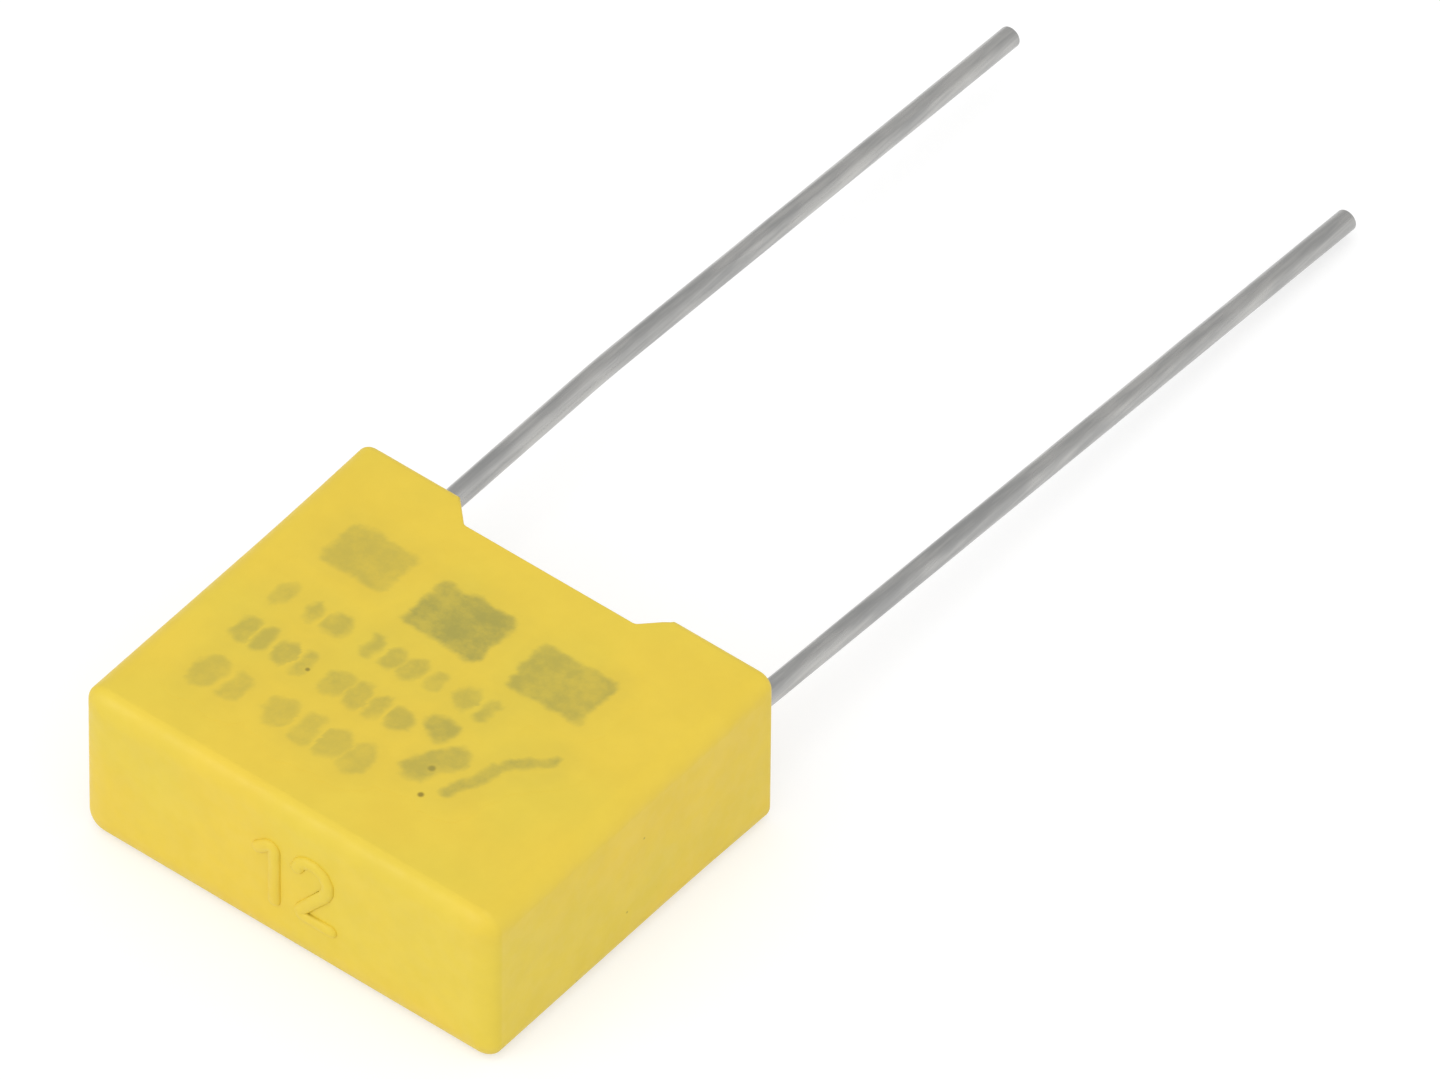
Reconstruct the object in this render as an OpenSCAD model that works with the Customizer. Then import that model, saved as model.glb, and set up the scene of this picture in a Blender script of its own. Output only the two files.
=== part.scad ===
// Box film capacitor with two wire leads, in millimetres.
// It lies on a wide face: X runs along the lead spacing, the leads point along +Y and Z is up.
// The origin is the centre of the wide face that it lies on.

/* [Case] */
// Height of the case, from the closed end to the tips of the feet
case_h = 11; // [9:0.5:16]
// Thickness of the case, between its wide faces
case_t = 5; // [4:0.5:9]
// Distance from a lead's axis to the narrow side of the case
side_margin = 1.5; // [1.3:0.1:3]
// Thickness of the side walls
wall = 0.6; // [0.4:0.05:0.8]
// Thickness of the closed end
end_wall = 0.7; // [0.4:0.05:1.2]
// Radius of the closed end's edges and of the four long edges
edge_r = 0.6; // [0.4:0.05:1]
// Radius of the open rim's outer edge
rim_r = 0.3; // [0.05:0.05:0.35]
// Radius inside the case, at its corners and round its floor
cavity_r = 0.3; // [0.1:0.05:0.6]

/* [Feet] */
// Height of the feet above the rim between them
foot_h = 0.75; // [0.3:0.05:1]
// Length of each foot, from the narrow side to the top of its ramp
foot_l = 3.05; // [2:0.05:4]
// Slope of the ramps between the feet and the rim, in degrees
ramp_angle = 45; // [35:5:70]
// Radius at the top and at the bottom of each ramp
ramp_r = 0.2; // [0.1:0.05:0.4]

/* [Resin] */
// Depth of the resin's surface below the rim between the feet
resin_drop = 0.4; // [0.3:0.05:0.8]
// Height of the resin's rise along the walls
meniscus_h = 0.2; // [0.1:0.05:0.3]
// Radius of the resin's rise along the walls
meniscus_r = 0.25; // [0.1:0.05:0.3]
// Thickness of the resin's edge where the rise ends
meniscus_edge = 0.06; // [0.03:0.01:0.1]
// Resin between the roll and the wide walls
roll_gap = 0.3; // [0.1:0.05:0.5]
// Resin between the roll and the closed end
floor_gap = 0.4; // [0.1:0.05:0.8]
// Resin above the roll, on the lead side
roll_cover = 0.7; // [0.4:0.05:1.2]

/* [Roll] */
// Thickness of the sprayed metal on each end of the roll
spray_t = 0.35; // [0.2:0.05:0.6]
// Bare edge of the roll's end left round the sprayed metal
spray_inset = 0.1; // [0.05:0.05:0.3]

/* [Leads] */
// Spacing of the leads, axis to axis
lead_pitch = 10; // [7.5:0.5:15]
// Diameter of the wire
lead_d = 0.6; // [0.5:0.05:0.8]
// Length of wire welded along the end of the roll
weld_l = 6.5; // [3:0.5:7]
// Depth of the flat pressed on the welded wire
weld_flat = 0.08; // [0.03:0.01:0.15]
// Radius of each lead's bend, on its axis
bend_r = 0.6; // [0.4:0.05:0.7]

/* [Left lead] */
// Length of wire beyond the feet
left_l = 24; // [12:0.1:30]
// Tilt of the wire from its weld on, down towards the surface below
left_tilt = 0.2; // [0.2:0.1:4]
// Distance from the feet to the bend
left_bend_at = 7.5; // [0.3:0.1:8]
// Angle of the bend, further down
left_bend_angle = 3.2; // [0.6:0.1:5]

/* [Right lead] */
// Length of wire beyond the feet
right_l = 25; // [12:0.1:30]
// Tilt of the wire from its weld on, down towards the surface below
right_tilt = 3.3; // [0.2:0.1:4]
// Distance from the feet to the bend
right_bend_at = 0.3; // [0.3:0.1:8]
// Angle of the bend, further down
right_bend_angle = 0.6; // [0.6:0.1:5]

/* [Hidden] */
$fn = 48;
// Overshoot of cuts past the faces that they open
cut = 1;
// Height above the feet's tips at which the notch's roundings end, so that they always cut the tips
graze = 0.002;
// Case and cavity
case_w = lead_pitch + 2 * side_margin;
cavity_w = case_w - 2 * wall;
cavity_t = case_t - 2 * wall;
// Heights above the closed end
rim_z = case_h - foot_h;
resin_z = rim_z - resin_drop;
roll_z = end_wall + floor_gap;
roll_top = resin_z - roll_cover;
// Roll, sprayed metal and the leads' flats share these
roll_h = roll_top - roll_z;
roll_t = cavity_t - 2 * roll_gap;
weld_x = lead_pitch / 2 - lead_d / 2 + weld_flat;
roll_l = 2 * (weld_x - spray_t);
// Opening between the feet
notch_h = foot_h + graze;
ramp_tangent = ramp_r * tan(ramp_angle / 2);

// Lays down what is built standing on the closed end with its leads up
module lay_down() {
    translate([0, -case_h / 2, case_t / 2]) rotate([-90, 0, 0]) children();
}

// What a rounding of radius r takes off an outer corner, from the rounding's centre outwards
module corner_cut(r) {
    difference() {
        square(r + cut);
        circle(r);
    }
}

// Upright section through a rounded edge: base_r rounds the foot of it, top_r the top
module edge_profile(r, h, base_r, top_r) {
    difference() {
        square([r, h]);
        translate([r - base_r, base_r]) mirror([0, 1]) corner_cut(base_r);
        if (top_r > 0) translate([r - top_r, h - top_r]) corner_cut(top_r);
    }
}

// Upright block with a w by t plan, corners of radius r, and the same rounded section all round
module rounded_block(w, t, h, r, base_r, top_r = 0) {
    inner = [w - 2 * r, t - 2 * r];
    translate([-inner.x / 2, -inner.y / 2, 0]) cube([inner.x, inner.y, h]);
    // each quarter turn adds one side and the corner that ends it
    for (turn = [0:3]) {
        side = turn % 2 == 0 ? inner : [inner.y, inner.x];
        rotate([0, 0, 90 * turn]) translate([side.x / 2, side.y / 2, 0]) {
            rotate([90, 0, 0]) linear_extrude(side.y) edge_profile(r, h, base_r, top_r);
            rotate_extrude(angle = 90) edge_profile(r, h, base_r, top_r);
        }
    }
}

// Fillet in the angle between a level line that ends at the origin and a line that leaves it
// at the ramp's slope, with a tail behind the angle that overlaps what the fillet joins
module ramp_fillet() {
    centre = [-ramp_tangent, ramp_r];
    difference() {
        polygon([-centre / 2, [-ramp_tangent, 0], centre, ramp_tangent * [cos(ramp_angle), sin(ramp_angle)]]);
        translate(centre) circle(ramp_r);
    }
}

// Outline of the opening between the feet, standing on the rim
module notch_outline() {
    top_x = case_w / 2 - foot_l;
    floor_x = top_x - notch_h / tan(ramp_angle);
    difference() {
        union() {
            polygon([[-floor_x, 0], [floor_x, 0], [top_x, notch_h], [top_x, notch_h + cut],
                     [-top_x, notch_h + cut], [-top_x, notch_h]]);
            for (side = [0, 1]) mirror([side, 0])
                translate([top_x, notch_h]) rotate(180) ramp_fillet();
        }
        for (side = [0, 1]) mirror([side, 0])
            translate([floor_x, 0]) ramp_fillet();
    }
}

// Inside of the case, from its floor up to height h above it
module cavity(h) {
    translate([0, 0, end_wall]) rounded_block(cavity_w, cavity_t, h, cavity_r, cavity_r);
}

// Moulded box: closed end below, open rim with two feet above
module case() {
    color([0.91, 0.8, 0.3]) lay_down() difference() {
        rounded_block(case_w, case_t, case_h, edge_r, edge_r, rim_r);
        cavity(case_h);
        translate([0, 0, rim_z]) rotate([90, 0, 0])
            linear_extrude(case_t + 2 * cut, center = true) notch_outline();
    }
}

// Outline of the flattened roll, seen along its axis, drawn smaller by inset all round
module roll_outline(inset = 0) {
    r = roll_t / 2 - inset;
    straight = roll_h - roll_t;
    translate([-r, roll_t / 2]) square([2 * r, straight]);
    for (end = [0, 1]) translate([0, roll_t / 2 + end * straight]) circle(r);
}

// Slice of the roll's outline between two places along its axis
module roll_slice(from_x, to_x, inset = 0) {
    translate([from_x, 0, roll_z]) rotate([90, 0, 90])
        linear_extrude(to_x - from_x) roll_outline(inset);
}

// The roll's whole body
module roll() {
    roll_slice(-roll_l / 2, roll_l / 2);
}

// Sprayed metal on one end of the roll, out to where the lead is welded on it
module spray(side) {
    inner_x = side > 0 ? roll_l / 2 : -weld_x;
    roll_slice(inner_x, inner_x + spray_t, spray_inset);
}

// Wire from the middle of its weld on the roll, through the resin and past one bend to its cut end
module lead(side, length, tilt, bend_at, bend) {
    weld_mid = roll_top - weld_l / 2;
    bend_z = case_h + bend_at - weld_mid;
    tail_l = length - bend_at;
    translate([side * lead_pitch / 2, 0, weld_mid]) rotate([-tilt, 0, 0]) {
        difference() {
            translate([0, 0, -weld_l / 2]) cylinder(d = lead_d, h = weld_l / 2 + bend_z);
            // flat where it lies on the sprayed metal, half a diameter longer than the weld each way
            translate([-side * (lead_d - weld_flat), 0, 0])
                cube([lead_d, 2 * lead_d, weld_l + lead_d], center = true);
        }
        translate([0, bend_r, bend_z]) {
            rotate([90, 0, -90]) rotate_extrude(angle = bend)
                translate([bend_r, 0]) circle(d = lead_d);
            rotate([-bend, 0, 0]) translate([0, -bend_r, 0]) cylinder(d = lead_d, h = tail_l);
        }
    }
}

module left_wire() {
    lead(-1, left_l, left_tilt, left_bend_at, left_bend_angle);
}

module right_wire() {
    lead(1, right_l, right_tilt, right_bend_at, right_bend_angle);
}

// Hollow of the resin's surface, which climbs the walls all round
module meniscus() {
    corner_r = max(meniscus_r, cavity_r - meniscus_edge);
    translate([0, 0, resin_z])
        rounded_block(cavity_w - 2 * meniscus_edge, cavity_t - 2 * meniscus_edge,
                      meniscus_h + meniscus_r + cut, corner_r, meniscus_r);
}

// Resin cast round the roll and the leads
module potting_resin() {
    color([0.87, 0.8, 0.58]) lay_down() difference() {
        cavity(resin_z + meniscus_h - end_wall);
        meniscus();
        roll();
        spray(-1);
        spray(1);
        left_wire();
        right_wire();
    }
}

// Flattened roll of metallised film
module film_winding() {
    color([0.78, 0.79, 0.82]) lay_down() roll();
}

// Metal sprayed on the left end of the roll
module end_spray_left() {
    color([0.6, 0.61, 0.63]) lay_down() spray(-1);
}

// Metal sprayed on the right end of the roll
module end_spray_right() {
    color([0.6, 0.61, 0.63]) lay_down() spray(1);
}

// Tinned wire on the left
module lead_left() {
    color([0.68, 0.68, 0.69]) lay_down() left_wire();
}

// Tinned wire on the right
module lead_right() {
    color([0.68, 0.68, 0.69]) lay_down() right_wire();
}

case();
potting_resin();
film_winding();
end_spray_left();
end_spray_right();
lead_left();
lead_right();
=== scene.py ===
"""Dresses a box film capacitor: moulded case, wire leads, cast resin, printed and moulded marks, stage."""

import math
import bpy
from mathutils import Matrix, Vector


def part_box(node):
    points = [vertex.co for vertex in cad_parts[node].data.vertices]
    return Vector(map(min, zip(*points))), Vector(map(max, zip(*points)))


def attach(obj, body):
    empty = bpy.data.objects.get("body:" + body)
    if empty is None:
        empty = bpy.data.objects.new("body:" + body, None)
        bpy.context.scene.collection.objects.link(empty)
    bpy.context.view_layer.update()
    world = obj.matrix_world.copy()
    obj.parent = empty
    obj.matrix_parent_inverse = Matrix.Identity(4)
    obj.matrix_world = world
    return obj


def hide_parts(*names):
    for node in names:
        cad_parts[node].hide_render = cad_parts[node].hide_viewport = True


bl_info = {
    "name": "Film Capacitor",
    "version": (1, 0, 0),
    "blender": (4, 5, 0),
    "location": "3D View > Sidebar > Film Capacitor",
    "description": "Builds the visible pieces of a box film capacitor round its solid model",
    "category": "Object",
}

import bmesh
import bpy
import numpy as np
from bpy.props import FloatProperty, FloatVectorProperty, IntProperty, PointerProperty
from mathutils import Matrix, Vector
from mathutils.geometry import delaunay_2d_cdt

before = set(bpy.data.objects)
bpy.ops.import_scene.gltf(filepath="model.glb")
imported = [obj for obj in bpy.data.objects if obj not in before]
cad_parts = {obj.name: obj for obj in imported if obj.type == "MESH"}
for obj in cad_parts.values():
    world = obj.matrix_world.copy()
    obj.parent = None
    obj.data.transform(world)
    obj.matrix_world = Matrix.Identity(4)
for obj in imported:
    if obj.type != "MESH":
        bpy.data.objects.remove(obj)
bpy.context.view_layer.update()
CASE_LOW, CASE_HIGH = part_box("case")
CASE_SIZE = CASE_HIGH - CASE_LOW
MID_HEIGHT = (CASE_LOW.z + CASE_HIGH.z) / 2
MM = 0.001
# Distance within which doubled points are joined, and length below which an edge of the case goes
WELD = 0.0005 * MM
SHORTEST_EDGE = 0.0002 * MM


def srgb(red, green, blue):
    """Scene-linear colour of screen values from 0 to 255."""
    return tuple(
        v / 12.92 if v <= 0.04045 else ((v + 0.055) / 1.055) ** 2.4
        for v in (c / 255 for c in (red, green, blue))
    ) + (1.0,)


def amount(name, description, value, **options):
    """A number property that is never negative."""
    return FloatProperty(name=name, description=description, default=value, min=0.0, **options)


def length(name, description, millimetres):
    """A length property that shows its unit."""
    return amount(name, description, millimetres * MM, precision=6, unit="LENGTH", subtype="DISTANCE")


def angle(name, description, degrees):
    """An angle property."""
    return FloatProperty(
        name=name, description=description, default=math.radians(degrees), unit="ROTATION", subtype="ANGLE"
    )


def colour(name, description, value):
    """A colour property."""
    return FloatVectorProperty(
        name=name, description=description, default=value, size=4, min=0.0, max=1.0, subtype="COLOR"
    )


class CaseSettings(bpy.types.PropertyGroup):
    """Moulded case."""

    wall: length("Wall", "Thickness of the side walls", 0.6)
    end_wall: length("Closed end", "Thickness of the closed end", 0.7)
    edge_radius: length("Edge radius", "Radius of the long edges", 0.6)
    end_reach: length("End edge reach", "Reach of the closed end's rounded edge along the long faces", 0.4)
    end_depth: length("End edge depth", "Reach of the closed end's rounded edge across the end", 0.8)
    end_corner: length("End corner", "Radius that the end's corners come down to", 0.05)
    open_radius: length("Open end radius", "Radius that the long edges come down to at the open end", 0.45)
    taper: length("Edge taper", "Distance from the open end over which the long edges' radius changes", 4.4)
    rim_radius: length("Foot rounding", "Radius of the feet's outer edge", 0.22)
    notch_rounding: length("Notch rounding", "Small radius along the rim between the feet", 0.07)
    cavity_radius: length("Cavity radius", "Radius inside the case", 0.3)
    foot_height: length("Foot height", "Height of the feet above the rim between them", 0.75)
    foot_length: length("Foot length", "Length of each foot, from the narrow side to its ramp", 3.05)
    ramp_radius: length("Ramp radius", "Radius at both ends of each ramp", 0.2)
    ramp_angle: angle("Ramp slope", "Slope of the ramps beside the feet", 45)
    yellow: colour("Yellow", "Main colour of the plastic", srgb(236, 205, 65))
    green_yellow: colour("Green yellow", "Cooler yellow that drifts through the plastic", srgb(232, 206, 67))


class LeadSettings(bpy.types.PropertyGroup):
    """Tinned wire leads."""

    pitch: length("Spacing", "Distance between the leads' axes", 10.0)
    radius: length("Wire radius", "Radius of the wire", 0.3)
    bend_radius: length("Bend radius", "Radius of each lead's slight bend", 25.0)
    tip_rounding: length("Tip rounding", "Radius of the cut end's edge", 0.05)
    weld_height: length("Weld height", "Height of the weld's middle above the closed end", 5.9)
    weld_length: length("Weld length", "Length of wire welded to the roll", 6.5)
    weld_flat: length("Weld flat", "Depth of the flat pressed on the welded wire", 0.08)
    sides: IntProperty(name="Sides", description="Number of sides round the wire", default=40, min=12)
    tin: colour("Tin", "Colour of the tinned wire", srgb(190, 189, 186))
    dull_tin: colour("Dull tin", "Colour of its dull streaks", srgb(164, 164, 163))


class ResinSettings(bpy.types.PropertyGroup):
    """Cast resin and what it holds."""

    level: length("Level", "Height of the resin above the closed end", 9.85)
    wall_rise: length("Rise at walls", "Height of the resin's climb along the walls", 0.23)
    wire_rise: length("Rise at wires", "Height of the resin's climb round the wires", 0.3)
    spread: length("Spread", "Distance over which the climb levels out", 0.16)
    cell: length("Cell", "Spacing of the surface's points", 0.24)
    cream: colour("Cream", "Colour of the resin", srgb(226, 208, 158))
    film: colour("Film", "Colour of the wound film", srgb(206, 208, 212))
    spray: colour("Sprayed metal", "Colour of the sprayed ends", srgb(150, 151, 154))


class MarkSettings(bpy.types.PropertyGroup):
    """Printed marks and raised numerals."""

    field_width: length("Field width", "Width of the field that holds the print", 11.6)
    field_depth: length("Field depth", "Depth of the field that holds the print", 9.0)
    soft_edge: length("Soft edge", "Width over which the ink fades out", 0.26)
    cell: length("Cell", "Spacing of the ink film's points", 0.06)
    film: length("Ink film", "Thickness of the ink", 0.004)
    wobble: length("Wobble", "Sway of the ink's worn outlines", 0.55)
    haze: amount("Haze", "Share of ink left between the marks", 0.1, max=1.0)
    ink: colour("Ink", "Colour of the faded ink", srgb(164, 156, 72))
    numeral_height: length("Numeral height", "Height of the raised numerals", 2.0)
    stroke: length("Stroke width", "Width of a raised stroke", 0.38)
    relief: length("Relief", "Height of a raised stroke", 0.11)
    corner: length("Numeral corner", "Radius at the corners of a raised stroke", 0.12)


class StageSettings(bpy.types.PropertyGroup):
    """Floor, light and camera."""

    floor_size: length("Floor", "Half the side of the floor", 3000.0)
    floor_grey: amount("Floor grey", "Reflectance of the floor as the part sees it", 0.8, max=1.0)
    floor_seen: amount("Floor seen", "Reflectance of the floor as the camera sees it", 0.55, max=1.0)
    floor_glow: amount("Floor glow", "White added to the floor as the camera sees it", 0.53)
    focal_length: amount("Focal length", "Focal length in millimetres", 734.25)
    distance: length("Distance", "Distance from the camera to the part", 720.7)
    azimuth: angle("Azimuth", "Turn of the camera round the part", 38.25)
    elevation: angle("Elevation", "Height angle of the camera", 45.65)
    roll: angle("Roll", "Turn of the camera round its own axis", 0.6)
    aim_right: length("Aim right", "Picture centre's distance to the right of the case's centre", 7.173)
    aim_up: length("Aim up", "Picture centre's distance above the case's centre", 5.199)
    sky: amount("Sky", "Strength of the even light behind the part", 0.72)
    front_sky: amount("Front sky", "Strength of the even light before it", 1.0)
    front_light: amount("Front light", "Power of the front light", 1.03, unit="POWER")
    top_light: amount("Top light", "Power of the light above", 0.68, unit="POWER")


class CapacitorSettings(bpy.types.PropertyGroup):
    """All settings of the capacitor."""

    case: PointerProperty(type=CaseSettings)
    leads: PointerProperty(type=LeadSettings)
    resin: PointerProperty(type=ResinSettings)
    marks: PointerProperty(type=MarkSettings)
    stage: PointerProperty(type=StageSettings)


# Each lead in millimetres and degrees: side, length beyond the feet, tilt, its bend's place and angle
LEADS = {
    "lead_left": (-1, 24.0, 0.2, 7.5, 3.2),
    "lead_right": (1, 25.0, 3.3, 0.3, 0.6),
}
# Length over which a wire goes from its pressed flat to its full round
FLAT_STEP = 0.02 * MM
# Points along a wire's bend, and along the rounding of its cut end
BEND_POINTS, TIP_POINTS = 13, 7

# Signs of the case's corners, in the order of a turn round it
CORNERS = ((1, 1), (-1, 1), (-1, -1), (1, -1))
# Shares of the wall's height at which the case has rows of points
WALL_ROWS = (0.25, 0.5, 0.66, 0.78, 0.89)
# Clearance below the rim of those rows, and of the highest row inside
ROW_CLEARANCE, INNER_CLEARANCE = 0.4 * MM, 0.3 * MM
# How steeply the long edges' radius changes towards the open end
TAPER_POWER = 1.5
# Points along each stretch of the rim from its middle to a corner, along a narrow side, and round a corner
RIM_POINTS, NARROW_POINTS, CORNER_POINTS = (5, 7, 3, 9, 5), 7, 10
# Points across the closed end's edge, a foot's rounding, the rim's outer edge and a rounding inside
END_POINTS, FOOT_POINTS, EDGE_POINTS, INSIDE_POINTS = 12, 8, 6, 5

# Rings of points on the resin in millimetres: insets from the walls, radii round the wires
WALL_INSETS = (0.03, 0.07, 0.12, 0.18, 0.26)
WIRE_RINGS = (0.24, 0.3, 0.33, 0.37, 0.43, 0.51, 0.62, 0.78)
# Points on a ring round a wire, and at a corner of a ring along the walls
WIRE_RING_POINTS, WALL_CORNER_POINTS = 28, 7
# Clearance of ring points from the walls, and of the points between the rings from walls and wires
RING_CLEARANCE, WALL_CLEARANCE, WIRE_CLEARANCE = 0.02 * MM, 0.34 * MM, 0.9 * MM
# Height of the resin's surface above its level, and depth of its lower side below it
RESIN_LIFT, RESIN_DEPTH = 0.03 * MM, 0.15 * MM

# Printed blocks on the wide face in millimetres: left, right, bottom, top, density
BLOCKS = (
    (-5.0, -2.55, 1.45, 3.3, 0.54),
    (-2.0, 0.7, 1.0, 3.1, 0.92),
    (1.3, 3.95, 1.0, 3.0, 0.72),
)
# Corner radius of the blocks in millimetres, and number of strokes that fill one
BLOCK_ROUNDING = 0.42
BLOCK_STROKES = 5
# Single printed strokes: start, end, half width, density
STROKES = (
    ((1.2, -1.0), (1.35, -1.05), 0.54, 0.72),
    ((1.6, -2.5), (2.2, -1.6), 0.52, 0.66),
    ((2.75, -2.6), (3.2, -1.2), 0.32, 0.74),
    ((3.2, -1.2), (4.1, -0.2), 0.28, 0.78),
)
# Rows of short printed strokes: height on the face, places along it, half height, half width, density
ROWS = (
    (0.1, (-4.6, -3.6, -2.92, -1.8, -1.12, -0.5, 0.16, 1.1, 1.78), 0.58, 0.45, 0.58),
    (-1.45, (-4.62, -4.0, -3.3, -2.74, -1.65, -0.98, -0.4, 0.28), 0.62, 0.45, 0.6),
    (-3.1, (-4.4, -3.5, -2.1, -1.26, -0.5, 0.3), 0.74, 0.54, 0.46),
)
# Shares of a row's half width and half height that its strokes take in turn
STROKE_SHARES = ((1.0, 1.0), (0.82, 0.92), (1.12, 0.86), (0.74, 1.0), (1.06, 0.95))
# Distances from a stroke at which the haze of ink ends and at which it is full
HAZE_END, HAZE_FULL = 1.1 * MM, 0.3 * MM
# Coverage below which the face is bare
LEAST_INK = 0.002

# Dark spots on the wide face in millimetres: place and radius
SPOTS = ((1.95, -2.24, 0.14), (2.3, -3.1, 0.12), (-2.53, -1.55, 0.09))
# Shares of a spot's and a speck's radius that are fully dark, and the dirt's colour on plastic
SPOT_CORE, SPECK_CORE = 0.3, 0.35
DIRT = srgb(112, 92, 22)
# Specular level of the case's plastic, printed or bare
PLASTIC_GLOSS = 0.41

# Raised numerals on the closed end: left edge in millimetres, and strokes in numeral heights
NUMERALS = (
    (-0.8, ((-0.03, 0.77), (0.22, 0.98), (0.22, 0.0))),
    (
        0.3,
        (
            (0.03, 0.8), (0.09, 0.92), (0.2, 0.98), (0.33, 0.98), (0.45, 0.92), (0.51, 0.8), (0.51, 0.68),
            (0.46, 0.57), (0.02, 0.02), (0.56, 0.02),
        ),
    ),
)
# Turns, in degrees, at which a raised stroke's round end has points
ROUND_END = (2, 25, 45, 62, 76, 86)
# Share of a stroke's width above which its point is a corner
FULL_WIDTH = 0.9999
# Points at a corner of a raised stroke, and round its section
STROKE_CORNER_POINTS, SECTION_POINTS = 6, 24

# Places and sides of the two lights, in metres
FRONT_LIGHT = ((-0.39, -0.71, 0.155), 0.3)
TOP_LIGHT = ((0.0, -0.1, 0.75), 0.5)
# Way to the sky's brighter half, and where along it the sky starts to brighten and stops
BRIGHT_SIDE = (0.75, -0.66, 0.0)
BRIGHTENS = (-0.2, 0.1)
WHITE = (1.0, 1.0, 1.0, 1.0)
# Camera: width of its sensor in millimetres, and the nearest that it sees in metres
SENSOR_WIDTH, NEAREST_SEEN = 36.0, 0.01


class Nodes:
    """Builder of a node tree, whose nodes take sockets or values as inputs."""

    def __init__(self, tree):
        self.tree = tree
        # coordinates that a material's patterns follow
        self.place = None

    def add(self, kind, values=(), **settings):
        """Adds a node with its options and inputs, where a list links several, and gives its outputs."""
        made = self.tree.nodes.new(kind)
        for key, value in settings.items():
            setattr(made, key, value)
        for key, value in dict(values).items():
            for item in value if isinstance(value, list) else [value]:
                if isinstance(item, bpy.types.NodeSocket):
                    self.tree.links.new(item, made.inputs[key])
                else:
                    made.inputs[key].default_value = item
        return made.outputs

    def mix(self, factor, a, b, blend="MIX"):
        """Colour mix; its sockets go by number, because a Mix node's names repeat for each type."""
        return self.add("ShaderNodeMix", {0: factor, 6: a, 7: b}, data_type="RGBA", blend_type=blend)[2]

    def ramp(self, value, low, high, to_low=0.0, to_high=1.0):
        """Smooth step of a value from low to high."""
        values = {"Value": value, "From Min": low, "From Max": high, "To Min": to_low, "To Max": to_high}
        return self.add("ShaderNodeMapRange", values, interpolation_type="SMOOTHSTEP")["Result"]

    def calc(self, operation, a, b):
        """Arithmetic on two numbers."""
        return self.add("ShaderNodeMath", {0: a, 1: b}, operation=operation)[0]

    def vector(self, operation, *values):
        """Arithmetic on vectors."""
        return self.add("ShaderNodeVectorMath", enumerate(values), operation=operation)

    def noise(self, scale, detail=3.0, roughness=0.5, stretch=None):
        """Noise at a scale per metre, stretched along one axis where asked."""
        place = self.place
        if stretch:
            place = self.add("ShaderNodeMapping", {"Vector": place, "Scale": stretch})["Vector"]
        values = {"Vector": place, "Scale": scale, "Detail": detail, "Roughness": roughness}
        return self.add("ShaderNodeTexNoise", values)["Fac"]

    def specks(self, scale, radius, share):
        """Small round specks: one in some of the cells of a fixed pattern."""
        cells = self.add("ShaderNodeTexVoronoi", {"Vector": self.place, "Scale": scale})
        pick = self.add("ShaderNodeSeparateColor", {"Color": cells["Color"]})
        near = self.ramp(cells["Distance"], radius * scale, SPECK_CORE * radius * scale)
        return self.calc("MULTIPLY", near, self.calc("LESS_THAN", pick["Red"], share))

    def bump(self, height, strength, depth, below=None):
        """Bump of a depth, on top of another one where given."""
        values = {"Height": height, "Strength": strength, "Distance": depth}
        if below is not None:
            values["Normal"] = below
        return self.add("ShaderNodeBump", values)["Normal"]

    def finish(self, base, rough, normal, **constants):
        """Links what varies to the main shader, and sets what is the same all over on its own sockets."""
        sockets = self.tree.nodes["Principled BSDF"].inputs
        for key, source in (("Base Color", base), ("Roughness", rough), ("Normal", normal)):
            self.tree.links.new(source, sockets[key])
        for key, value in constants.items():
            sockets[key.replace("_", " ")].default_value = value

    def sweep(self, path, outline):
        """Closed mesh of an outline moved along a path, at the share of its size that each point carries."""
        share = self.add("GeometryNodeInputRadius")["Radius"]
        values = {"Curve": path, "Profile Curve": outline, "Scale": share, "Fill Caps": True}
        return self.add("GeometryNodeCurveToMesh", values)["Mesh"]

    def close(self, source, geometry):
        """Ends the tree in Realize Instances and Set Material."""
        real = self.add("GeometryNodeRealizeInstances", {"Geometry": geometry})["Geometry"]
        values = {"Geometry": real, "Material": source["Material"]}
        done = self.add("GeometryNodeSetMaterial", values)["Geometry"]
        self.add("NodeGroupOutput", {"Geometry": done})
        return self.tree


def new_material(name):
    """New material, and its tree's builder, whose patterns follow the object's own coordinates."""
    material = bpy.data.materials.new(name)
    material.use_nodes = True
    t = Nodes(material.node_tree)
    t.place = t.add("ShaderNodeTexCoord")["Object"]
    return material, t


def plastic(t, case):
    """Colour, roughness and bump of the case's plastic."""
    drift = t.ramp(t.noise(190.0, 2.0), 0.38, 0.66)
    base = t.mix(drift, tuple(case.yellow), tuple(case.green_yellow))
    cloud = t.ramp(t.noise(900.0, 4.0, 0.6), 0.3, 0.75)
    base = t.mix(0.5, base, t.mix(cloud, srgb(246, 245, 240), WHITE), "MULTIPLY")
    dirt = t.specks(620.0, 0.055 * MM, 0.05)
    base = t.mix(t.calc("MULTIPLY", dirt, 0.55), base, DIRT)
    for x, y, r in SPOTS:
        away = t.vector("DISTANCE", t.place, (x * MM, y * MM, CASE_HIGH.z))["Value"]
        base = t.mix(t.ramp(away, r * MM, SPOT_CORE * r * MM, 0.0, 0.75), base, DIRT)
    rough = t.ramp(t.noise(2400.0), 0.3, 0.7, 0.42, 0.54)
    grain = t.bump(t.noise(7000.0, 2.0), 0.35, 0.004 * MM)
    return base, rough, t.bump(t.noise(420.0, 1.0), 0.3, 0.03 * MM, grain)


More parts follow.
